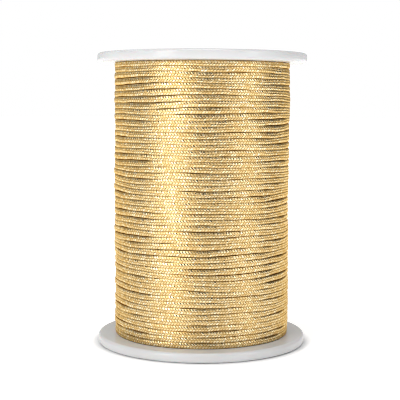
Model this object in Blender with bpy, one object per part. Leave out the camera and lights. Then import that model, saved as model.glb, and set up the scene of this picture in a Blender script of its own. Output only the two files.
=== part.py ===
"""Reel of braided gold satin cord, standing on its lower flange.

One white moulded reel carries one winding of cord. The reel is a barrel with a
spindle bore right through it and a round flange at each end. The winding fills
the reel from the barrel out to 6.1 mm short of the flanges' rims. Its outermost
layer is 49 turns of 2 mm cord, laid side by side as one continuous helix.

Metres, +Z up along the reel's axis, origin at the middle of the underside.
"""

import math

import bmesh
import bpy
from mathutils import Matrix, Vector

# The reel.
FLANGE_DIAMETER = 0.0760
FLANGE_THICKNESS = 0.0035
RIM_ROUNDING = 0.0011
BARREL_DIAMETER = 0.0250
BARREL_FILLET = 0.0006
BORE_DIAMETER = 0.0200
BORE_ROUNDING = 0.0006

# The winding.
TURNS = 49
CORD_DIAMETER = 0.0020
WINDING_DIAMETER = 0.0638
GROOVE_DEPTH = 0.0006
SHOULDER_DEPTH = 0.0001

# Hand-tight turns stand out and sink in by this much, in a slow wave and a quicker one.
SLOW_SWELL = 0.00012
SLOW_WAVES = 1.5
QUICK_SWELL = 0.00006
QUICK_WAVES = 4.0

# The small gap that separate solids keep where they touch.
SEAT_GAP = 0.0003

# The grooved face is spun this many turns too long, then trimmed square. A point that lies
# within this share of one step's climb from an end is seated on it first.
SPARE_TURNS = 3
END_SNAP = 0.75

# How finely the curved faces are stepped.
REEL_STEPS = 72
WINDING_STEPS = 36
ROUNDING_STEPS = 3
ROWS_PER_TURN = 3

# Points closer than this are one point.
SAME_POINT = 0.000001

WINDING_LENGTH = TURNS * CORD_DIAMETER
WINDING_FOOT = FLANGE_THICKNESS + SEAT_GAP
REEL_HEIGHT = WINDING_LENGTH + 2 * WINDING_FOOT

UP = Vector((0, 0, 1))
AXIS_POINT = Vector((0, 0, 0))

WHITE_PLASTIC = {"colour": (0.83, 0.83, 0.84, 1.0), "roughness": 0.35, "metallic": 0.0}
GOLD_CORD = {"colour": (0.80, 0.58, 0.27, 1.0), "roughness": 0.38, "metallic": 0.85}
REEL_SHARP_ABOVE = math.radians(40)
WINDING_SHARP_ABOVE = math.radians(60)


def clear_scene():
    """Removes whatever objects the file opened with."""
    for thing in list(bpy.data.objects):
        bpy.data.objects.remove(thing)


def finish_material(name, finish):
    """A Principled material of one finish."""
    material = bpy.data.materials.new(name)
    material.use_nodes = True
    shader = material.node_tree.nodes["Principled BSDF"]
    shader.inputs["Base Color"].default_value = finish["colour"]
    shader.inputs["Roughness"].default_value = finish["roughness"]
    shader.inputs["Metallic"].default_value = finish["metallic"]
    material.diffuse_color = finish["colour"]
    return material


def add_object(name, shape, material, sharp_above):
    """Turns a bmesh into a smooth-shaded object of one material, standing on the origin."""
    bmesh.ops.recalc_face_normals(shape, faces=shape.faces)
    mesh = bpy.data.meshes.new(name)
    shape.to_mesh(mesh)
    shape.free()
    mesh.materials.append(material)
    mesh.shade_smooth()
    mesh.set_sharp_from_angle(angle=sharp_above)
    thing = bpy.data.objects.new(name, mesh)
    bpy.context.scene.collection.objects.link(thing)
    return thing


def arc(centre_r, centre_z, radius, start_angle, end_angle):
    """Points of an arc in the turned section, ends included."""
    points = []
    for step in range(ROUNDING_STEPS + 1):
        angle = start_angle + (end_angle - start_angle) * step / ROUNDING_STEPS
        points.append((centre_r + radius * math.cos(angle), centre_z + radius * math.sin(angle)))
    return points


def reel_section():
    """The reel's section as one closed loop of (radius, height) points."""
    down, outward, up, inward = -math.pi / 2, 0.0, math.pi / 2, -math.pi
    bore_edge = BORE_DIAMETER / 2 + BORE_ROUNDING
    rim_edge = FLANGE_DIAMETER / 2 - RIM_ROUNDING
    fillet_edge = BARREL_DIAMETER / 2 + BARREL_FILLET
    lower_half = arc(bore_edge, BORE_ROUNDING, BORE_ROUNDING, inward, down)
    lower_half += arc(rim_edge, RIM_ROUNDING, RIM_ROUNDING, down, outward)
    lower_half += arc(rim_edge, FLANGE_THICKNESS - RIM_ROUNDING, RIM_ROUNDING, outward, up)
    lower_half += arc(fillet_edge, FLANGE_THICKNESS + BARREL_FILLET, BARREL_FILLET, down, inward)
    upper_half = [(radius, REEL_HEIGHT - height) for radius, height in reversed(lower_half)]
    return lower_half + upper_half


def section_wire(shape, section, closed):
    """Draws a section in the XZ plane and returns its points and edges."""
    points = [shape.verts.new((radius, 0, height)) for radius, height in section]
    pairs = list(zip(points, points[1:]))
    if closed:
        pairs.append((points[-1], points[0]))
    return points + [shape.edges.new(pair) for pair in pairs]


def revolve(shape, wire, steps, climb):
    """Spins a section once round the axis while it climbs, and joins what meets at the seam."""
    bmesh.ops.spin(
        shape,
        geom=wire,
        cent=AXIS_POINT,
        axis=UP,
        dvec=UP * climb / steps,
        angle=math.tau,
        steps=steps,
    )
    bmesh.ops.remove_doubles(shape, verts=shape.verts, dist=SAME_POINT)


def moulded_reel():
    """Barrel, bore and both flanges as one turned solid."""
    shape = bmesh.new()
    revolve(shape, section_wire(shape, reel_section(), closed=True), REEL_STEPS, climb=0)
    return shape


def groove_section():
    """The outer layer's section: a groove and two shoulders for each turn, spare turns included."""
    row_height = CORD_DIAMETER / ROWS_PER_TURN
    section = []
    for row in range((TURNS + SPARE_TURNS) * ROWS_PER_TURN):
        depth = GROOVE_DEPTH if row % ROWS_PER_TURN == 0 else SHOULDER_DEPTH
        section.append((WINDING_DIAMETER / 2 - depth, (row - 0.5) * row_height - CORD_DIAMETER))
    return section


def swell_turns(shape):
    """Makes the turns as uneven as cord wound by hand-set tension."""
    for point in shape.verts:
        angle = math.atan2(point.co.y, point.co.x)
        share = math.tau * point.co.z / WINDING_LENGTH
        slow = SLOW_SWELL * math.sin(SLOW_WAVES * share) * math.cos(angle)
        quick = QUICK_SWELL * math.sin(QUICK_WAVES * share + 2 * angle)
        outward = Vector((math.cos(angle), math.sin(angle), 0))
        point.co += outward * (slow + quick)


def trim_ends(shape):
    """Cuts the helical face square at both ends, after seating points that almost lie there."""
    nearly = END_SNAP * CORD_DIAMETER / WINDING_STEPS
    for height in (0, WINDING_LENGTH):
        for point in shape.verts:
            if abs(point.co.z - height) < nearly:
                point.co.z = height
    for height, outward in ((0, -UP), (WINDING_LENGTH, UP)):
        bmesh.ops.bisect_plane(
            shape,
            geom=shape.verts[:] + shape.edges[:] + shape.faces[:],
            dist=SAME_POINT,
            plane_co=UP * height,
            plane_no=outward,
            clear_outer=True,
        )


def open_edges(shape, height):
    """The open edges that lie at one height."""
    found = []
    for edge in shape.edges:
        if edge.is_boundary and all(abs(end.co.z - height) < SAME_POINT for end in edge.verts):
            found.append(edge)
    return found


def wound_cord():
    """The winding as one solid: its grooved helical face, flat ends and a hole for the barrel."""
    hole_radius = BARREL_DIAMETER / 2 + SEAT_GAP
    shape = bmesh.new()
    wire = section_wire(shape, groove_section(), closed=False)
    revolve(shape, wire, WINDING_STEPS, climb=CORD_DIAMETER)
    swell_turns(shape)
    bmesh.ops.triangulate(shape, faces=shape.faces)
    trim_ends(shape)
    bmesh.ops.create_cone(
        shape,
        cap_ends=False,
        segments=WINDING_STEPS,
        radius1=hole_radius,
        radius2=hole_radius,
        depth=WINDING_LENGTH,
        matrix=Matrix.Translation(UP * WINDING_LENGTH / 2),
    )
    for height in (0, WINDING_LENGTH):
        bmesh.ops.bridge_loops(shape, edges=open_edges(shape, height))
    bmesh.ops.triangulate(shape, faces=shape.faces)
    return shape


def main():
    """Builds the reel and the winding on it."""
    clear_scene()
    plastic = finish_material("white_plastic", WHITE_PLASTIC)
    gold = finish_material("gold_cord", GOLD_CORD)
    add_object("reel", moulded_reel(), plastic, REEL_SHARP_ABOVE)
    winding = add_object("cord_winding", wound_cord(), gold, WINDING_SHARP_ABOVE)
    winding.location.z = WINDING_FOOT


main()
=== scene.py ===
"""Looks of a reel of braided gold satin cord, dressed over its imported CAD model.

The white reel is turned again with finer roundings. The winding becomes what it is on
the real reel: one continuous braided cord, laid turn beside turn as the outer layer,
over the grooved layers below it. Each strand crossing of the braid is a small grain of
its own, and the grains lean in herringbone columns along the cord.

Metres, +Z up along the reel's axis, and the camera looks along +Y.
"""

from __future__ import annotations

import logging
import math
import random
from collections.abc import Sequence
from dataclasses import dataclass
from enum import Enum
from typing import Any

import bpy
from mathutils import Matrix, Vector


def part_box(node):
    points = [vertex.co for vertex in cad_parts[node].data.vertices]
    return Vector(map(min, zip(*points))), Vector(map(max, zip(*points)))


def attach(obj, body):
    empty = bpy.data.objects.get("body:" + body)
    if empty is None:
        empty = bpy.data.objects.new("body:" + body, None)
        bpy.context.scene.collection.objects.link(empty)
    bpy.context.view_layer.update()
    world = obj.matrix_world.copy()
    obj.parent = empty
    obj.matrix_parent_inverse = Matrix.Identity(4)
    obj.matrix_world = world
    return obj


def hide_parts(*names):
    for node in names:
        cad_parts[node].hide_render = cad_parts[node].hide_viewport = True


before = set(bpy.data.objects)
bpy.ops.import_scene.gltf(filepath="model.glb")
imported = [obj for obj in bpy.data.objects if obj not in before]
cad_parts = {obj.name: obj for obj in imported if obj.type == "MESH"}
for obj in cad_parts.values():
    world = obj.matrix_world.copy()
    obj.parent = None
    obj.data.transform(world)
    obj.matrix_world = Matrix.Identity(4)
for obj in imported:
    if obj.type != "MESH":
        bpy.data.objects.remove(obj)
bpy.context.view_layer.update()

Colour = tuple[float, float, float, float]
SectionPoint = tuple[float, float]
MapPlace = tuple[float, float]

PHOTO_WIDTH = 400
BRAID_MAP = "braid"
BAKE_MAP = "OFBake"

BLACK: Colour = (0.0, 0.0, 0.0, 1.0)
PURE_WHITE: Colour = (1.0, 1.0, 1.0, 1.0)

# Each term is a height in metres, or a share for the roll, its waves round the reel and
# its waves up the layer. The shared ones go round in whole waves, so that they meet.
WANDERS: dict[str, tuple[tuple[float, float, float], ...]] = {
    "shared_height": (
        (0.00026, 1, 2.2),
        (0.00020, 2, 4.1),
        (0.00008, 3, 7.3),
        (0.00008, 5, 3.0),
    ),
    "own_height": (
        (0.00008, 1.7, 0),
        (0.00008, 3.3, 0),
        (0.00007, 6.9, 0),
        (0.00005, 13.7, 0),
        (0.00003, 27.1, 0),
    ),
    "shared_radius": ((0.00012, 1, 1.5), (0.00006, 2, 4.0), (0.00003, 4, 6.0)),
    "own_radius": ((0.00010, 1.3, 0), (0.00009, 4.3, 0), (0.00006, 7.7, 0)),
    "roll": ((0.5, 0.83, 0), (0.5, 2.9, 0)),
}

log = logging.getLogger("gold_cord_reel")


class CadNode(Enum):
    """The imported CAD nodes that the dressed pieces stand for."""

    REEL = "reel"
    WINDING = "cord_winding"


class Slot(Enum):
    """The record's material slots."""

    WHITE_PLASTIC = "white_plastic"
    GOLD_CORD = "gold_cord"


class Side(Enum):
    """The two ends of the winding, as the direction that faces out of it."""

    LOWER = -1
    UPPER = 1


def smooth_step(share: float) -> float:
    """Eases a share from 0 to 1, flat at both ends and held outside them."""
    share = min(max(share, 0.0), 1.0)
    return share * share * (3.0 - 2.0 * share)


class Wire:
    """One output socket of a node sheet, with arithmetic that adds Math nodes."""

    def __init__(self, sheet: NodeSheet, socket: bpy.types.NodeSocket) -> None:
        """Keeps the socket and the sheet that it lies on."""
        self.sheet = sheet
        self.socket = socket

    def maths(self, operation: str, first: Any, second: Any = 0.0) -> Wire:
        """Adds one Math node for two wires or numbers."""
        inputs = {0: first, 1: second}
        return self.sheet.add("ShaderNodeMath", {"operation": operation}, inputs)

    def __add__(self, other: Wire | float) -> Wire:
        """The sum of this value and another."""
        return self.maths("ADD", self, other)

    def __radd__(self, other: float) -> Wire:
        """The sum of a number and this value."""
        return self.maths("ADD", other, self)

    def __sub__(self, other: Wire | float) -> Wire:
        """This value less another."""
        return self.maths("SUBTRACT", self, other)

    def __rsub__(self, other: float) -> Wire:
        """A number less this value."""
        return self.maths("SUBTRACT", other, self)

    def __mul__(self, other: Wire | float) -> Wire:
        """This value times another."""
        return self.maths("MULTIPLY", self, other)

    def __rmul__(self, other: float) -> Wire:
        """A number times this value."""
        return self.maths("MULTIPLY", other, self)

    def __abs__(self) -> Wire:
        """This value without its sign."""
        return self.maths("ABSOLUTE", self)

    def sibling(self, name: str) -> Wire:
        """Another output of the same node."""
        return Wire(self.sheet, self.socket.node.outputs[name])

    def larger(self, other: Wire | float) -> Wire:
        """The larger of this value and another."""
        return self.maths("MAXIMUM", self, other)

    def eased(self, start: float, end: float) -> Wire:
        """0 below the start, 1 above the end and a smooth step between them."""
        settings = {"interpolation_type": "SMOOTHSTEP"}
        inputs = {"Value": self, "From Min": start, "From Max": end}
        return self.sheet.add("ShaderNodeMapRange", settings, inputs)

    def ramp(self, stops: Sequence[tuple[float, Colour]]) -> Wire:
        """The colour of a ramp at this value."""
        return self.sheet.add("ShaderNodeValToRGB", {"stops": stops}, {0: self})


class NodeSheet:
    """A node tree under construction."""

    def __init__(self, tree: bpy.types.NodeTree) -> None:
        """Keeps the tree that nodes are added to."""
        self.tree = tree

    @staticmethod
    def _find(sockets: Any, key: str | int) -> bpy.types.NodeSocket:
        """Finds a socket by its place, its identifier or its name."""
        if isinstance(key, int):
            return sockets[key]
        return next((s for s in sockets if s.identifier == key), None) or sockets[key]

    def plug(self, node: bpy.types.Node, key: str | int, value: Any) -> None:
        """Links a wire to a socket of a node, or sets the socket's own value.

        Args:
            node: the node that has the socket.
            key: the socket's place, identifier or name.
            value: a wire, or a plain value of the socket's kind.
        """
        socket = self._find(node.inputs, key)
        if isinstance(value, Wire):
            self.tree.links.new(value.socket, socket)
        else:
            socket.default_value = value

    def add(
        self,
        kind: str,
        settings: dict[str, Any],
        inputs: dict[str | int, Any],
        output: str | int = 0,
    ) -> Wire:
        """Adds a node of any kind.

        Args:
            kind: the node's type.
            settings: its settings, such as an operation, or a ramp's stops.
            inputs: a value or a wire for each socket that is used.
            output: which output socket is wanted.

        Returns:
            That output as a wire.
        """
        node = self.tree.nodes.new(kind)
        for name, value in settings.items():
            if name == "stops":
                self._set_stops(node.color_ramp, value)
            else:
                setattr(node, name, value)
        for key, value in inputs.items():
            self.plug(node, key, value)
        return Wire(self, self._find(node.outputs, output))

    @staticmethod
    def _set_stops(
        ramp: bpy.types.ColorRamp, stops: Sequence[tuple[float, Colour]]
    ) -> None:
        """Gives a ramp its stops.

        Args:
            ramp: the ramp of a new node, which has two stops.
            stops: a place and a colour for each stop wanted.
        """
        while len(ramp.elements) < len(stops):
            ramp.elements.new(1.0)
        for element, (place, colour) in zip(ramp.elements, stops):
            element.position = place
            element.color = colour

    def mix(self, factor: Wire | float, first: Any, second: Any) -> Wire:
        """Blends two colours: a factor of 0 gives the first and 1 the second."""
        inputs = {"Factor_Float": factor, "A_Color": first, "B_Color": second}
        return self.add("ShaderNodeMix", {"data_type": "RGBA"}, inputs, "Result_Color")

    def vector(self, operation: str, first: Any, second: Any) -> Wire:
        """Adds one Vector Math node for two vectors."""
        inputs = {0: first, 1: second}
        return self.add("ShaderNodeVectorMath", {"operation": operation}, inputs)

    def noise(self, where: Wire, scale: float, detail: float) -> Wire:
        """The value of a noise texture at a place."""
        inputs = {"Vector": where, "Scale": scale, "Detail": detail}
        return self.add("ShaderNodeTexNoise", {}, inputs)

    def bump(self, height: Wire, distance: float, strength: float) -> Wire:
        """A normal that stands up by a height map over a distance."""
        inputs = {"Height": height, "Distance": distance, "Strength": strength}
        return self.add("ShaderNodeBump", {}, inputs, "Normal")


class Finish:
    """A surface that is made as one Principled material."""

    name: str

    def material(self) -> bpy.types.Material:
        """Makes the material.

        Returns:
            A new material whose shader this finish has set up.
        """
        material = bpy.data.materials.new(self.name)
        material.use_nodes = True
        shader = material.node_tree.nodes["Principled BSDF"]
        self.set_up(NodeSheet(material.node_tree), shader)
        return material

    def set_up(self, sheet: NodeSheet, shader: bpy.types.Node) -> None:
        """Sets the shader's sockets, with the nodes that they need."""
        raise NotImplementedError


@dataclass(frozen=True)
class WhitePlastic(Finish):
    """White moulded plastic with a satin gloss and the faint rings of its turned mould."""

    name: str = "white_plastic_moulded"
    white: Colour = (0.65, 0.656, 0.663, 1.0)
    warm_white: Colour = (0.625, 0.625, 0.625, 1.0)
    gloss: float = 0.18
    haze: float = 0.14
    translucence: float = 0.12
    light_depth: float = 0.002
    rings_per_metre: float = 900.0
    ring_height: float = 0.000004
    blotch_scale: float = 55.0
    blotch_edges: tuple[float, float] = (0.35, 0.70)
    grain_scale: float = 1300.0
    haze_from_blotch: float = 0.5
    haze_from_rings: float = 0.35
    haze_from_grain: float = 0.15
    relief_from_rings: float = 0.7
    relief_strength: float = 0.5

    def set_up(self, sheet: NodeSheet, shader: bpy.types.Node) -> None:
        """Sets the plastic's colour, gloss and mould marks.

        Args:
            sheet: the material's nodes.
            shader: its Principled shader.
        """
        place = sheet.add("ShaderNodeTexCoord", {}, {}, "Object")
        blotch = sheet.noise(place, self.blotch_scale, 3.0)
        rings = self._rings(sheet, place)
        grain = sheet.noise(place, self.grain_scale, 2.0)
        colour = sheet.mix(blotch.eased(*self.blotch_edges), self.white, self.warm_white)
        sheet.plug(shader, "Base Color", colour)
        haze = self.haze_from_blotch * blotch + self.haze_from_rings * rings
        haze = haze + self.haze_from_grain * grain
        sheet.plug(shader, "Roughness", self.gloss + self.haze * haze)
        relief = self.relief_from_rings * rings + (1.0 - self.relief_from_rings) * grain
        normal = sheet.bump(relief, self.ring_height, self.relief_strength)
        sheet.plug(shader, "Normal", normal)
        sheet.plug(shader, "Subsurface Weight", self.translucence)
        sheet.plug(shader, "Subsurface Scale", self.light_depth)

    def _rings(self, sheet: NodeSheet, place: Wire) -> Wire:
        """Fine rings about the axis, as a turned mould leaves them.

        Args:
            sheet: the material's nodes.
            place: the point in the reel's own frame.

        Returns:
            A value from 0 to 1 that changes with distance from the axis and with height.
        """
        height = sheet.add("ShaderNodeSeparateXYZ", {}, {0: place}, "Z")
        across = sheet.vector("MULTIPLY", place, (1.0, 1.0, 0.0))
        radius = sheet.add(
            "ShaderNodeVectorMath", {"operation": "LENGTH"}, {0: across}, "Value"
        )
        along = self.rings_per_metre * (radius + 0.8 * height)
        inputs = {"W": along, "Scale": 1.0, "Detail": 3.0}
        return sheet.add("ShaderNodeTexNoise", {"noise_dimensions": "1D"}, inputs)


@dataclass(frozen=True)
class GoldBraid(Finish):
    """Braided metallic yarn: bright film strands among warmer, browner ones.

    The braid map's first axis counts the columns round the cord and its second the
    grains along it, so each whole step of both is one grain.
    """

    name: str = "gold_braid"
    amber: Colour = (0.65, 0.435, 0.18, 1.0)
    gold: Colour = (0.77, 0.57, 0.28, 1.0)
    pale_gold: Colour = (0.88, 0.725, 0.43, 1.0)
    cream: Colour = (1.0, 0.93, 0.69, 1.0)
    # Painted shade: a dark brown mixed in towards the edge of every grain, where the crevices
    # between strands lie in shade.
    painted_valley_shade: Colour = (0.43, 0.245, 0.055, 1.0)
    valley_shade_depth: float = 0.85
    # Painted shade: the dark brown of the cord's hidden inner side, which lies in the crevices
    # between turns.
    painted_hidden_side_shade: Colour = (0.24, 0.13, 0.035, 1.0)
    inner_middle: float = 2.5
    metal: float = 1.0
    gloss: float = 0.20
    haze: float = 0.18
    filaments: float = 6.0
    filament_height: float = 0.00003
    drift_scale: float = 70.0
    edge_tint: Colour = (1.0, 0.80, 0.48, 1.0)
    tint_from_grain: float = 0.50
    tint_from_filament: float = 0.35
    tint_from_drift: float = 0.25
    tint_drop: float = 0.05
    tint_places: tuple[float, float, float, float] = (0.10, 0.36, 0.64, 0.88)
    inner_edges: tuple[float, float] = (0.12, 0.40)
    filament_edges: tuple[float, float] = (0.28, 0.72)
    valley_edges: tuple[float, float] = (0.18, 0.50)
    valley_relief: float = 0.5
    relief_strength: float = 0.6

    def set_up(self, sheet: NodeSheet, shader: bpy.types.Node) -> None:
        """Sets the yarn's colours, sparkle and filaments.

        Args:
            sheet: the material's nodes.
            shader: its Principled shader.
        """
        braid = sheet.add("ShaderNodeUVMap", {"uv_map": BRAID_MAP}, {})
        cell = sheet.vector("FLOOR", braid, (0.0, 0.0, 0.0))
        dice = sheet.add("ShaderNodeTexWhiteNoise", {"noise_dimensions": "2D"}, {"Vector": cell})
        filament = self._filament(sheet, braid, dice)
        place = sheet.add("ShaderNodeTexCoord", {}, {}, "Object")
        drift = sheet.noise(place, self.drift_scale, 2.0)
        tint = self.tint_from_grain * dice + self.tint_from_filament * filament
        tint = tint + self.tint_from_drift * drift - self.tint_drop
        golds = (self.amber, self.gold, self.pale_gold, self.cream)
        stops = tuple(zip(self.tint_places, golds))
        # Painted shade: each grain darkens towards its edge. The same mask also sinks the bump
        # there.
        edge_shade_and_relief = self._valley(sheet, braid)
        strands = sheet.mix(self.valley_shade_depth * edge_shade_and_relief, tint.ramp(stops), self.painted_valley_shade)
        # Painted shade: the hidden inner side of the cord, the strip of the braid map past its
        # columns, turns dark brown.
        column = sheet.add("ShaderNodeSeparateXYZ", {}, {0: braid}, "X")
        hidden = 1 - abs(column - self.inner_middle).eased(*self.inner_edges)
        colour = sheet.mix(hidden, strands, self.painted_hidden_side_shade)
        sheet.plug(shader, "Base Color", colour)
        sheet.plug(shader, "Metallic", self.metal)
        gloss = self.gloss + self.haze * (0.5 * filament + 0.5 * (1 - dice))
        sheet.plug(shader, "Roughness", gloss)
        relief = filament + self.valley_relief * (1 - edge_shade_and_relief)
        normal = sheet.bump(relief, self.filament_height, self.relief_strength)
        sheet.plug(shader, "Normal", normal)
        sheet.plug(shader, "Specular Tint", self.edge_tint)

    def _filament(self, sheet: NodeSheet, braid: Wire, dice: Wire) -> Wire:
        """The fine filaments that run along each strand, other ones in each grain.

        Args:
            sheet: the material's nodes.
            braid: the place on the braid.
            dice: a number of its own for each grain.

        Returns:
            A value from 0 to 1.
        """
        stretched = sheet.vector("MULTIPLY", braid, (1.1, self.filaments, 1.0))
        shift = sheet.add("ShaderNodeCombineXYZ", {}, {"X": 37.0 * dice, "Y": 11.0 * dice})
        place = sheet.vector("ADD", stretched, shift)
        return sheet.noise(place, 1.0, 1.5).eased(*self.filament_edges)

    def _valley(self, sheet: NodeSheet, braid: Wire) -> Wire:
        """How near a point is to the edge of its grain.

        Args:
            sheet: the material's nodes.
            braid: the place on the braid.

        Returns:
            1 on the edge and 0 in the middle of the grain.
        """
        within = sheet.vector("FRACTION", braid, (0.0, 0.0, 0.0))
        across = sheet.add("ShaderNodeSeparateXYZ", {}, {0: within}, "X")
        along = across.sibling("Y")
        edge = abs(across - 0.5).larger(abs(along - 0.5))
        return edge.eased(*self.valley_edges)


@dataclass(frozen=True)
class PaleFloor(Finish):
    """The plain white surface that the reel stands on."""

    name: str = "pale_floor"
    white: Colour = (0.90, 0.90, 0.90, 1.0)
    gloss: float = 0.55
    near_glow: float = 0.41
    contact: float = 0.038
    near: float = 0.0415
    far: float = 0.60

    def set_up(self, sheet: NodeSheet, shader: bpy.types.Node) -> None:
        """Sets one plain white that glows as a light table does, more so farther out, and not at
        all round the reel's foot: a painted contact shadow.

        Args:
            sheet: the material's nodes.
            shader: its Principled shader.
        """
        place = sheet.add("ShaderNodeTexCoord", {}, {}, "Object")
        away = sheet.add("ShaderNodeVectorMath", {"operation": "LENGTH"}, {0: place}, "Value")
        # Painted contact shadow: no glow inside the contact radius, rising to the near glow just
        # outside the reel's foot, then to full glow far out.
        inner = self.near_glow * away.eased(self.contact, self.near)
        outer = (1.0 - self.near_glow) * away.eased(self.near, self.far)
        glow = sheet.mix(inner + outer, BLACK, PURE_WHITE)
        sheet.plug(shader, "Base Color", self.white)
        sheet.plug(shader, "Roughness", self.gloss)
        sheet.plug(shader, "Emission Color", glow)
        sheet.plug(shader, "Emission Strength", 1.0)


class Shape:
    """Points, faces and face-corner maps gathered for one mesh."""

    def __init__(self, *maps: str) -> None:
        """Starts empty, with a list of corner places for each named map."""
        self.points: list[Vector] = []
        self.faces: list[tuple[int, ...]] = []
        self.maps: dict[str, list[float]] = {name: [] for name in maps}

    def point(self, place: Vector) -> int:
        """Adds a point and returns its number."""
        self.points.append(place)
        return len(self.points) - 1

    def face(self, corners: tuple[int, ...], **places: Sequence[tuple[float, float]]) -> None:
        """Adds a face.

        Args:
            corners: the numbers of its points, counter-clockwise from outside.
            places: for each map, the place of every corner.
        """
        self.faces.append(corners)
        for name, values in self.maps.items():
            for across, along in places[name]:
                values.extend((across, along))

    def to_object(self, name: str, finish: bpy.types.Material) -> bpy.types.Object:
        """Makes the mesh and its object.

        Args:
            name: the object's name.
            finish: the material on all its faces.

        Returns:
            The object, smooth shaded.
        """
        mesh = bpy.data.meshes.new(name)
        mesh.from_pydata(self.points, [], self.faces)
        for title, values in self.maps.items():
            mesh.uv_layers.new(name=title).uv.foreach_set("vector", values)
        mesh.materials.append(finish)
        mesh.shade_smooth()
        thing = bpy.data.objects.new(name, mesh)
        bpy.context.scene.collection.objects.link(thing)
        return thing


def dress(thing: bpy.types.Object, node: CadNode, slot: Slot) -> bpy.types.Object:
    """Ties a piece to the frame and reports it.

    Args:
        thing: the finished piece.
        node: the CAD node that it stands for.
        slot: the record's slot that its finish belongs to; not used.

    Returns:
        The same piece.
    """
    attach(thing, "root")
    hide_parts(node.value)
    log.info("%s: %d faces", thing.name, len(thing.data.polygons))
    return thing


def turned(
    section: Sequence[SectionPoint], steps: int, grains: MapPlace, first_column: float = 0.0
) -> Shape:
    """Turns a closed section once round the reel's axis.

    Args:
        section: its points as radius and height, so that the solid lies on their left.
        steps: how many steps the turn has.
        grains: columns for each point of the section and grains for the whole turn.
        first_column: where the section starts on the braid map.

    Returns:
        The closed shape, with its braid map.
    """
    shape = Shape(BRAID_MAP)
    rings = []
    for step in range(steps):
        angle = math.tau * step / steps
        outward = Vector((math.cos(angle), math.sin(angle), 0.0))
        ring = []
        for radius, height in section:
            ring.append(shape.point(outward * radius + Vector((0.0, 0.0, height))))
        rings.append(ring)
    count = len(section)
    for step in range(steps):
        here, there = rings[step], rings[(step + 1) % steps]
        low, high = step * grains[1] / steps, (step + 1) * grains[1] / steps
        for row in range(count):
            after = (row + 1) % count
            near, far = first_column + row * grains[0], first_column + (row + 1) * grains[0]
            corners = (here[row], there[row], there[after], here[after])
            places = ((near, low), (near, high), (far, high), (far, low))
            shape.face(corners, braid=places)
    return shape


@dataclass(frozen=True)
class Reel:
    """The moulded reel: a barrel with its bore, and a flange at each end."""

    flange_radius: float
    height: float
    flange_thickness: float = 0.0035
    rim_rounding: float = 0.0011
    barrel_radius: float = 0.0125
    barrel_fillet: float = 0.0006
    bore_radius: float = 0.0100
    bore_rounding: float = 0.0006
    steps: int = 192
    rounding_steps: int = 6
    support: float = 0.0003

    @classmethod
    def from_frame(cls) -> Reel:
        """The reel that has the outer size of its CAD node."""
        low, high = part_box(CadNode.REEL.value)
        return cls(flange_radius=(high.x - low.x) / 2, height=high.z - low.z)

    @property
    def lower_face(self) -> float:
        """Height of the lower flange's upper face."""
        return self.flange_thickness

    @property
    def upper_face(self) -> float:
        """Height of the upper flange's lower face."""
        return self.height - self.flange_thickness

    def _arc(
        self, centre: SectionPoint, radius: float, start: float, end: float
    ) -> list[SectionPoint]:
        """Points of a rounded edge in the turned section.

        Args:
            centre: the rounding's centre, as radius and height.
            radius: the rounding's own radius.
            start: the angle that it starts at.
            end: the angle that it ends at.

        Returns:
            Its points, both ends included.
        """
        points = []
        for step in range(self.rounding_steps + 1):
            angle = start + (end - start) * step / self.rounding_steps
            points.append(
                (centre[0] + radius * math.cos(angle), centre[1] + radius * math.sin(angle))
            )
        return points

    def _section(self) -> list[SectionPoint]:
        """The reel's closed section, lower half first.

        Returns:
            Points as radius and height. One more point beside each rounding keeps the
            shading of the flat faces flat.
        """
        down, outward, up, inward = -math.pi / 2, 0.0, math.pi / 2, -math.pi
        bore_edge = self.bore_radius + self.bore_rounding
        rim_edge = self.flange_radius - self.rim_rounding
        fillet_edge = self.barrel_radius + self.barrel_fillet
        face = self.flange_thickness
        half = self._arc((bore_edge, self.bore_rounding), self.bore_rounding, inward, down)
        half += [(bore_edge + self.support, 0.0), (rim_edge - self.support, 0.0)]
        half += self._arc((rim_edge, self.rim_rounding), self.rim_rounding, down, outward)
        half += self._arc((rim_edge, face - self.rim_rounding), self.rim_rounding, outward, up)
        half += [(rim_edge - self.support, face), (fillet_edge + self.support, face)]
        half += self._arc(
            (fillet_edge, face + self.barrel_fillet), self.barrel_fillet, down, inward
        )
        half += [(self.barrel_radius, face + self.barrel_fillet + self.support)]
        return half + [(radius, self.height - height) for radius, height in reversed(half)]

    def build(self, plastic: bpy.types.Material) -> bpy.types.Object:
        """Makes the reel.

        Args:
            plastic: its material.

        Returns:
            The dressed piece.
        """
        shape = turned(self._section(), self.steps, (0.0, 0.0))
        thing = shape.to_object("reel_moulding", plastic)
        return dress(thing, CadNode.REEL, Slot.WHITE_PLASTIC)


@dataclass(frozen=True)
class Wave:
    """One term of a smooth wander."""

    height: float
    round_axis: float
    up_layer: float
    phase: float

    def at(self, angle: float, share: float) -> float:
        """Its value at an angle round the reel and a share of the layer's height."""
        return self.height * math.cos(
            self.round_axis * angle + math.tau * self.up_layer * share + self.phase
        )


@dataclass(frozen=True)
class CordState:
    """The cord at one place along it: its crest, its room and its crevices."""

    outward: Vector
    crest: float
    height: float
    half_below: float
    half_above: float
    open_below: float
    open_above: float
    roll: float

    def openness(self, rise: float) -> float:
        """How open the crevice is on the side that a rise lies on, from 0 to 1."""
        return self.open_above if rise > 0 else self.open_below

    def place(self, rise: float, depth: float) -> Vector:
        """A point of the cord's section.

        Args:
            rise: the height above the middle, as a share of the room on that side.
            depth: how far the point lies below the crest.

        Returns:
            The point in the reel's frame.
        """
        half = self.half_above if rise > 0 else self.half_below
        point = self.outward * (self.crest - depth)
        point.z = self.height + half * rise
        return point


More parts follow.
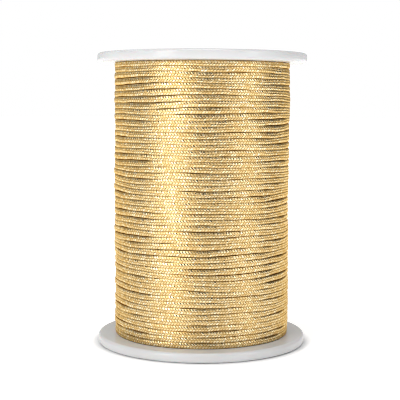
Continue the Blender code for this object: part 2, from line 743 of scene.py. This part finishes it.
@dataclass(frozen=True)
class OuterLayer:
    """The outermost layer of the winding, as one braided cord.

    The turns lie level. Each steps up to the next turn's level in one short crossing at
    the back. The cord comes up from the layer below it at the lower end and goes down
    again at the upper one, so neither cut end shows.
    """

    lower_face: float
    upper_face: float
    crest_radius: float
    turns: int = 49
    cord_diameter: float = 0.0020
    crossing_at: float = math.radians(90)
    crossing_width: float = math.radians(42)
    crossing_lead: float = 1.5
    crossing_drift: float = math.radians(7)
    drift_turns: float = 4.7
    calm_turns: float = 2.0
    dive_width: float = math.radians(44)
    dive_depth: float = 0.0023
    columns: int = 2
    grain_length: float = 0.00102
    stagger: float = 0.5
    lean: float = 0.6
    line_depth: float = 0.00006
    saddle_depth: float = 0.00007
    crown_height: float = 0.00001
    crown_play: float = 0.12
    height_play: float = 0.00002
    shoulder_share: float = 0.5
    pillow_swell: float = 0.00002
    face_drop: float = 0.00010
    roll_swing: float = 0.10
    tight_spacing: float = 0.00200
    loose_spacing: float = 0.00226
    open_at_flange: float = 1.0
    shoulder_shut: float = 0.01
    shoulder_open: float = 0.10
    shoulder_drop: float = 0.00016
    crevice_shut: float = 0.00030
    crevice_open: float = 0.00068
    turns_a_piece: float = 3.5
    seed: int = 4973

    @property
    def pitch(self) -> float:
        """Height from one turn to the next."""
        return (self.upper_face - self.lower_face) / self.turns

    @property
    def middle_radius(self) -> float:
        """Distance from the axis to the cord's middle."""
        return self.crest_radius - self.cord_diameter / 2

    @property
    def wound_angle(self) -> float:
        """The whole angle that the layer winds."""
        return math.tau * self.turns

    @property
    def used_angle(self) -> float:
        """The angle that the cord really winds, which ends before the last crossing."""
        return self.wound_angle - self.crossing_lead * self.crossing_width

    @property
    def grains(self) -> int:
        """How many grains lie along the whole layer."""
        return round(self.used_angle * self.middle_radius / self.grain_length)

    def leads(self) -> list[tuple[float, float]]:
        """How far ahead each column's seams between grains run.

        Returns:
            For every column the places, in grains, where a seam leaves its lower line
            and where it reaches its upper one. Neighbouring columns lean in turn and
            lie staggered.
        """
        found = []
        start = 0.0
        for column in range(self.columns):
            end = start + (-self.lean if column % 2 else self.lean)
            found.append((start, end))
            start = end + self.stagger
        return found

    def waves(self) -> dict[str, list[Wave]]:
        """The layer's wanders, each wave with a phase drawn from the seed."""
        dice = random.Random(self.seed)
        made = {}
        for name, terms in WANDERS.items():
            made[name] = [Wave(*term, dice.uniform(0.0, math.tau)) for term in terms]
        return made


@dataclass
class CordPath:
    """Follows the outer layer's cord from end to end."""

    layer: OuterLayer

    def __post_init__(self) -> None:
        """Makes the wanders once."""
        self.waves = self.layer.waves()

    def _sum(self, name: str, wound: float) -> float:
        """The sum of one wander's waves where so much angle has been wound."""
        share = wound / self.layer.wound_angle
        return sum(wave.at(wound, share) for wave in self.waves[name])

    def height(self, wound: float) -> float:
        """Height of the cord's middle.

        Args:
            wound: the angle wound since the first turn began.

        Returns:
            The height above the reel's underside.
        """
        layer = self.layer
        turn = min(math.floor(wound / math.tau), layer.turns - 1)
        level = turn + 0.5
        if turn < layer.turns - 1:
            local = wound - math.tau * turn
            drift = layer.crossing_drift * math.sin(turn / layer.drift_turns)
            start = math.tau - layer.crossing_lead * layer.crossing_width + drift
            level += smooth_step((local - start) / layer.crossing_width)
        from_end = min(wound, layer.wound_angle - wound) / math.tau
        calm = smooth_step(from_end / layer.calm_turns)
        wander = self._sum("shared_height", wound) + self._sum("own_height", wound)
        return layer.lower_face + layer.pitch * level + calm * wander

    def _dive(self, wound: float) -> float:
        """How far the cord has gone down into the layer below, near its two ends."""
        layer = self.layer
        left = min(wound, layer.used_angle - wound)
        return layer.dive_depth * (1.0 - smooth_step(left / layer.dive_width))

    def _room(self, wound: float, side: Side) -> tuple[float, float]:
        """The room that the cord has on one side of its middle.

        Args:
            wound: the angle wound since the first turn began.
            side: below or above the middle.

        Returns:
            The half height on that side, and how open the crevice there is, from 0 to 1.
        """
        layer = self.layer
        here = self.height(wound)
        beside = wound + side.value * math.tau
        if 0.0 <= beside <= layer.wound_angle:
            spacing = abs(self.height(beside) - here)
            slack = layer.loose_spacing - layer.tight_spacing
            return spacing / 2, smooth_step((spacing - layer.tight_spacing) / slack)
        face = layer.lower_face if side is Side.LOWER else layer.upper_face
        return min(abs(here - face), layer.cord_diameter / 2), layer.open_at_flange

    def state(self, wound: float) -> CordState:
        """The cord where so much angle has been wound.

        Args:
            wound: the angle wound since the first turn began.

        Returns:
            Its crest, its room on both sides and its roll.
        """
        layer = self.layer
        azimuth = layer.crossing_at + layer.crossing_width / 2 + wound
        half_below, open_below = self._room(wound, Side.LOWER)
        half_above, open_above = self._room(wound, Side.UPPER)
        swell = self._sum("shared_radius", wound) + self._sum("own_radius", wound)
        return CordState(
            outward=Vector((math.cos(azimuth), math.sin(azimuth), 0.0)),
            crest=layer.crest_radius - self._dive(wound) + swell,
            height=self.height(wound),
            half_below=half_below,
            half_above=half_above,
            open_below=open_below,
            open_above=open_above,
            roll=layer.roll_swing * self._sum("roll", wound),
        )


@dataclass(frozen=True)
class BakeStrips:
    """How one piece of cord lies on its bake map: in straight strips, one above the other."""

    grains: int
    columns: int
    grain_length: float
    column_width: float

    @property
    def count(self) -> int:
        """How many strips make the map about square."""
        length = self.grains * self.grain_length
        width = (self.columns + 1) * self.column_width
        return max(round(math.sqrt(length / width)), 1)

    @property
    def strip_grains(self) -> int:
        """How many grains a strip holds."""
        return math.ceil(self.grains / self.count)

    def places(self, grain: int, spots: Sequence[MapPlace]) -> list[MapPlace]:
        """Where the corners of one face lie.

        Args:
            grain: the row of grains that the face belongs to, in the piece.
            spots: its corners on the braid map.

        Returns:
            Its corners on the bake map, from 0 to 1 both ways.
        """
        strip = grain // self.strip_grains
        found = []
        for across, along in spots:
            along_strip = along - strip * self.strip_grains
            up = strip + (across + 0.5) / (self.columns + 1)
            found.append(((along_strip + 0.5) / (self.strip_grains + 1), up / self.count))
        return found


@dataclass
class CordPiece:
    """One closed stretch of the braided cord.

    Round the cord run ring points in this order, from its lower shoulder up the outer
    face: for each column the start, the saddle and the end of the seam between two of
    its grains, then the foot of the upper crevice, the hidden inner side and the foot of
    the lower crevice. The next column's seam starts half a grain further on.
    """

    path: CordPath
    dice: random.Random
    first: int
    last: int

    def __post_init__(self) -> None:
        """Starts the piece with no points."""
        layer = self.path.layer
        width = layer.cord_diameter / layer.columns
        rows = self.last - self.first
        self.layer = layer
        self.shape = Shape(BRAID_MAP, BAKE_MAP)
        self.strips = BakeStrips(rows, layer.columns + 1, layer.grain_length, width)
        self.soft_points: set[int] = set()

    def _at(self, grain: float) -> CordState:
        """The cord at a place that is counted in grains."""
        return self.path.state(self.layer.used_angle * grain / self.layer.grains)

    def _rise(self, state: CordState, line: float) -> float:
        """Where a line between columns lies on the cord's outer face.

        Args:
            state: the cord at that place.
            line: the line's number, counted up from the lower shoulder.

        Returns:
            Its height as a share of the room on its side of the middle.
        """
        layer = self.layer
        reach = []
        for openness in (state.open_below, state.open_above):
            wider = openness * (layer.shoulder_open - layer.shoulder_shut)
            reach.append(1.0 - layer.shoulder_shut - wider)
        share = line / layer.columns
        rolled = state.roll * 4.0 * share * (1.0 - share)
        return -reach[0] + (reach[0] + reach[1]) * share + rolled

    def _face(self, state: CordState, line: float, depth: float) -> Vector:
        """A point of the outer face, which rounds off towards its shoulders.

        Args:
            state: the cord at that place.
            line: where it lies, counted in columns up from the lower shoulder.
            depth: how far it lies below the face.

        Returns:
            The point in the reel's frame.
        """
        rise = self._rise(state, line)
        drop = self.layer.face_drop + self.layer.shoulder_drop * state.openness(rise)
        return state.place(rise, depth + drop * rise * rise)

    def _ring(self, grain: int) -> list[int]:
        """Adds the ring of points where one row of grains meets the next.

        Args:
            grain: which row starts here.

        Returns:
            The numbers of the points.
        """
        layer = self.layer
        leads = layer.leads()
        ring = []
        for column, (low, high) in enumerate(leads):
            places = ((column, low), (column + 0.5, (low + high) / 2), (column + 1, high))
            for step, (line, lead) in enumerate(places):
                depth = layer.saddle_depth if step == 1 else layer.line_depth
                ring.append(self.shape.point(self._face(self._at(grain + lead), line, depth)))
        low, high = leads[0][0], leads[-1][1]
        for lead, rise in ((high, 1.0), ((low + high) / 2, 0.0), (low, -1.0)):
            state = self._at(grain + lead)
            deeper = state.openness(rise) * (layer.crevice_open - layer.crevice_shut)
            depth = layer.crevice_shut + deeper if rise else layer.cord_diameter
            ring.append(self.shape.point(state.place(rise, depth)))
        return ring

    def _crowns(self, grain: int) -> list[int]:
        """Adds the raised middle of each grain in a row, a little out of place.

        Args:
            grain: which row it is.

        Returns:
            The numbers of the points, one for each column.
        """
        layer = self.layer
        points = []
        for column, (low, high) in enumerate(layer.leads()):
            state = self._at(grain + 0.5 + (low + high) / 2)
            onward = Vector((-state.outward.y, state.outward.x, 0.0))
            askew = layer.crown_play * self.dice.uniform(-1.0, 1.0)
            rise = layer.crown_height + layer.height_play * self.dice.uniform(-1.0, 1.0)
            slide = layer.crown_play * layer.grain_length * self.dice.uniform(-1.0, 1.0)
            place = self._face(state, column + 0.5 + askew, -rise)
            points.append(self.shape.point(place + onward * slide))
        return points

    def _lay(self, row: int, corners: tuple[int, ...], spots: Sequence[MapPlace]) -> None:
        """Adds a face of one row of grains, with its places on both maps."""
        self.shape.face(corners, braid=spots, OFBake=self.strips.places(row, spots))

    def _row_faces(
        self, row: int, before: list[int], after: list[int], crowns: list[int]
    ) -> None:
        """Adds the faces of one row of grains, and the plain ones that close it inside.

        Args:
            row: the row's number in the piece.
            before: the ring points where it starts.
            after: the ring points where it ends.
            crowns: the grains' middles.
        """
        for column, crown in enumerate(crowns):
            first, last = 3 * column, 3 * column + 2
            rim = [before[first], after[first], after[first + 1], after[last]]
            spots = [(column, row), (column, row + 1), (column + 0.5, row + 1)]
            spots.append((column + 1, row + 1))
            if column > 0:
                rim.insert(1, after[first - 1])
                spots.insert(1, (column, row + 0.5))
            if column < len(crowns) - 1:
                rim.append(before[last + 1])
                spots.append((column + 1, row + 0.5))
            rim += [before[last], before[first + 1]]
            spots += [(column + 1, row), (column + 0.5, row)]
            self._pillow(row, rim, spots, crown, (column + 0.5, row + 0.5))
        shoulder = 3 * len(crowns) - 1
        hidden = len(before) - shoulder
        for step in range(hidden):
            near, far = shoulder + step, (shoulder + step + 1) % len(before)
            low = len(crowns) + step / hidden
            high = len(crowns) + (step + 1) / hidden
            corners = (before[near], after[near], after[far], before[far])
            self._lay(row, corners, ((low, row), (low, row + 1), (high, row + 1), (high, row)))

    def _pillow(
        self,
        row: int,
        rim: Sequence[int],
        spots: Sequence[MapPlace],
        crown: int,
        middle: MapPlace,
    ) -> None:
        """Adds the faces of one grain, in two steps from its rim up to its crown.

        Args:
            row: the row's number in the piece.
            rim: the points round the grain.
            spots: their places on the braid map.
            crown: the point in the grain's middle.
            middle: the crown's place on the braid map.
        """
        top = self.shape.points[crown]
        swell = Vector((top.x, top.y, 0.0)).normalized() * self.layer.pillow_swell
        share = self.layer.shoulder_share
        upper, upper_spots = [], []
        for place, spot in zip(rim, spots):
            upper.append(self.shape.point(self.shape.points[place].lerp(top, share) + swell))
            upper_spots.append(tuple(a + (b - a) * share for a, b in zip(spot, middle)))
        for side in range(len(rim)):
            after = (side + 1) % len(rim)
            flank = (rim[side], rim[after], upper[after], upper[side])
            places = (spots[side], spots[after], upper_spots[after], upper_spots[side])
            self._lay(row, flank, places)
            peak = (upper[side], upper[after], crown)
            self._lay(row, peak, (upper_spots[side], upper_spots[after], middle))
        self.soft_points.update((crown, *upper))

    def _cap(self, ring: list[int], grain: float, closes: Side) -> None:
        """Closes one end of the piece.

        Args:
            ring: the points at that end.
            grain: the place along the cord, in grains.
            closes: LOWER for the piece's beginning, UPPER for its end.
        """
        middle = self.shape.point(self._at(grain).place(0.0, self.layer.cord_diameter / 2))
        nowhere = ((0.0, 0.0),) * 3
        for place, here in enumerate(ring):
            there = ring[(place + 1) % len(ring)]
            edge = (here, there) if closes is Side.LOWER else (there, here)
            self.shape.face((middle, *edge), braid=nowhere, OFBake=nowhere)

    def _sharpen(self, mesh: bpy.types.Mesh) -> None:
        """Marks the edges between grains sharp, so that each grain is a smooth pillow."""
        sharp = [self.soft_points.isdisjoint(edge.vertices) for edge in mesh.edges]
        marks = mesh.attributes.new("sharp_edge", "BOOLEAN", "EDGE")
        marks.data.foreach_set("value", sharp)

    def build(self, name: str, yarn: bpy.types.Material) -> bpy.types.Object:
        """Makes the piece.

        Args:
            name: the piece's name.
            yarn: its material.

        Returns:
            The dressed piece.
        """
        before = self._ring(self.first)
        self._cap(before, self.first, Side.LOWER)
        for grain in range(self.first, self.last):
            crowns = self._crowns(grain)
            after = self._ring(grain + 1)
            self._row_faces(grain - self.first, before, after, crowns)
            before = after
        self._cap(before, self.last, Side.UPPER)
        thing = self.shape.to_object(name, yarn)
        self._sharpen(thing.data)
        return dress(thing, CadNode.WINDING, Slot.GOLD_CORD)


@dataclass(frozen=True)
class BraidedCord:
    """The outer layer's cord, as closed pieces that follow one another."""

    path: CordPath

    def build(self, yarn: bpy.types.Material) -> list[bpy.types.Object]:
        """Makes the whole outer layer.

        Args:
            yarn: the cord's material.

        Returns:
            Its pieces, from the lower end up.
        """
        layer = self.path.layer
        dice = random.Random(layer.seed + 1)
        count = round(layer.turns / layer.turns_a_piece)
        ends = [round(layer.grains * share / count) for share in range(count + 1)]
        pieces = []
        for number, (first, last) in enumerate(zip(ends, ends[1:]), start=1):
            piece = CordPiece(self.path, dice, first, last)
            pieces.append(piece.build(f"braided_cord_{number:02d}", yarn))
        return pieces


@dataclass(frozen=True)
class LowerLayers:
    """The layers below the outermost one, as one grooved ring round the barrel."""

    lower_face: float
    upper_face: float
    crest_radius: float
    hole_radius: float = 0.0128
    turns: int = 49
    groove_depth: float = 0.0006
    rows_a_turn: int = 4
    steps: int = 96
    seat: float = 0.00005
    columns_a_turn: float = 2.0
    grains_round: float = 185.0
    first_column: float = 4.0

    def build(self, yarn: bpy.types.Material) -> bpy.types.Object:
        """Makes the ring.

        Args:
            yarn: its material.

        Returns:
            The dressed piece.
        """
        foot, head = self.lower_face + self.seat, self.upper_face - self.seat
        rows = self.turns * self.rows_a_turn
        section = [(self.hole_radius, foot)]
        for row in range(rows + 1):
            wave = 0.5 + 0.5 * math.cos(math.tau * row / self.rows_a_turn)
            radius = self.crest_radius - self.groove_depth * (1.0 - wave)
            section.append((radius, foot + (head - foot) * row / rows))
        section.append((self.hole_radius, head))
        grains = (self.columns_a_turn / self.rows_a_turn, self.grains_round)
        shape = turned(section, self.steps, grains, self.first_column)
        thing = shape.to_object("lower_layers", yarn)
        return dress(thing, CadNode.WINDING, Slot.GOLD_CORD)


@dataclass(frozen=True)
class SoftBox:
    """One rectangular studio lamp that faces the reel."""

    name: str
    azimuth: float
    elevation: float
    distance: float
    width: float
    height: float
    watts: float
    colour: tuple[float, float, float] = (1.0, 1.0, 1.0)

    def build(self, target: Vector) -> bpy.types.Object:
        """Hangs the lamp.

        Args:
            target: the point that it faces.

        Returns:
            The lamp.
        """
        lamp = bpy.data.lights.new(self.name, "AREA")
        lamp.shape = "RECTANGLE"
        lamp.size, lamp.size_y = self.width, self.height
        lamp.energy = self.watts
        lamp.color = self.colour
        thing = bpy.data.objects.new(self.name, lamp)
        side, rise = math.radians(self.azimuth), math.radians(self.elevation)
        level = Vector((math.sin(side), -math.cos(side), 0.0)) * math.cos(rise)
        towards = level + Vector((0.0, 0.0, math.sin(rise)))
        thing.location = target + towards * self.distance
        thing.rotation_mode = "QUATERNION"
        thing.rotation_quaternion = towards.to_track_quat("Z", "Y")
        bpy.context.scene.collection.objects.link(thing)
        log.info("%s: %.1f W", self.name, self.watts)
        return thing


@dataclass(frozen=True)
class Studio:
    """A plain pale floor, soft lamps and surroundings that show white to the camera."""

    floor_radius: float = 6.0
    floor_steps: int = 96
    target: tuple[float, float, float] = (0.0, 0.0, 0.055)
    side_light: float = 0.05
    back_light: float = 0.58
    left_bias: float = 0.30
    back_edges: tuple[float, float] = (-0.05, 0.95)
    sky_light: float = 0.38
    sky_edges: tuple[float, float] = (0.25, 0.85)
    seen_white: float = 1.0
    lamps: tuple[SoftBox, ...] = (
        SoftBox("soft_box_left", -39.5, 18.0, 0.9, 0.24, 0.9, 4.2),
        SoftBox("soft_box_right", 56.0, 18.0, 0.9, 0.16, 0.9, 2.2),
        SoftBox("soft_box_above", 0.0, 80.0, 1.1, 0.6, 0.6, 4.0),
    )

    def build(self) -> None:
        """Makes the floor, the lamps and the surroundings."""
        self._floor()
        for lamp in self.lamps:
            lamp.build(Vector(self.target))
        self._surroundings()
        scene = bpy.context.scene
        scene.view_settings.view_transform = "Standard"
        scene.cycles.filter_width = 1.0
        scene.cycles.denoising_prefilter = "NONE"
        scene.cycles.sample_clamp_indirect = 1.5

    def _floor(self) -> None:
        """Lays a round floor under the reel."""
        mesh = bpy.data.meshes.new("floor")
        rim = []
        for step in range(self.floor_steps):
            angle = math.tau * step / self.floor_steps
            across, back = math.cos(angle), math.sin(angle)
            rim.append((self.floor_radius * across, self.floor_radius * back, 0.0))
        mesh.from_pydata(rim, [], [tuple(range(self.floor_steps))])
        mesh.materials.append(PaleFloor().material())
        floor = bpy.data.objects.new("floor", mesh)
        bpy.context.scene.collection.objects.link(floor)

    def _surroundings(self) -> None:
        """Makes the world: bright behind and above, dim in front, plain white where seen."""
        world = bpy.data.worlds.new("surroundings")
        world.use_nodes = True
        bpy.context.scene.world = world
        sheet = NodeSheet(world.node_tree)
        direction = sheet.add("ShaderNodeTexCoord", {}, {}, "Generated")
        depth = sheet.add("ShaderNodeSeparateXYZ", {}, {0: direction}, "Y")
        sideways = self.left_bias * depth.sibling("X")
        behind = (depth - sideways).eased(*self.back_edges)
        upward = depth.sibling("Z").eased(*self.sky_edges)
        light = self.side_light + (self.back_light - self.side_light) * behind
        light = light + self.sky_light * upward
        seen = sheet.add("ShaderNodeLightPath", {}, {}, "Is Camera Ray")
        strength = seen * self.seen_white + (1 - seen) * light
        background = world.node_tree.nodes["Background"]
        sheet.plug(background, "Color", PURE_WHITE)
        sheet.plug(background, "Strength", strength)


@dataclass(frozen=True)
class PhotoCamera:
    """The camera as fitted to the photograph's edges."""

    distance: float = 0.38990
    height: float = 0.08761
    tilt: float = math.radians(5.200)
    roll: float = math.radians(0.234)
    focal_pixels: float = 1062.9
    shift_pixels: float = 1.69
    sensor: float = 36.0

    def build(self) -> bpy.types.Object:
        """Sets the camera up.

        Returns:
            The scene's camera.
        """
        data = bpy.data.cameras.new("camera")
        data.sensor_width = self.sensor
        data.lens = self.focal_pixels * self.sensor / PHOTO_WIDTH
        data.shift_x = -self.shift_pixels / PHOTO_WIDTH
        data.clip_start = 0.01
        camera = bpy.data.objects.new("camera", data)
        stand = Matrix.Translation((0.0, -self.distance, self.height))
        aim = Matrix.Rotation(math.pi / 2 - self.tilt, 4, "X")
        camera.matrix_world = stand @ aim @ Matrix.Rotation(self.roll, 4, "Z")
        bpy.context.scene.collection.objects.link(camera)
        bpy.context.scene.camera = camera
        return camera


def main() -> None:
    """Builds the reel, the winding and the studio in order."""
    logging.basicConfig(level=logging.INFO, format="%(name)s: %(message)s")
    reel = Reel.from_frame()
    reel.build(WhitePlastic().material())
    yarn = GoldBraid().material()
    layer = OuterLayer(reel.lower_face, reel.upper_face, crest_radius=0.0319)
    BraidedCord(CordPath(layer)).build(yarn)
    below = LowerLayers(reel.lower_face, reel.upper_face, crest_radius=0.0300)
    below.build(yarn)
    Studio().build()
    PhotoCamera().build()


if __name__ == "__main__":
    main()
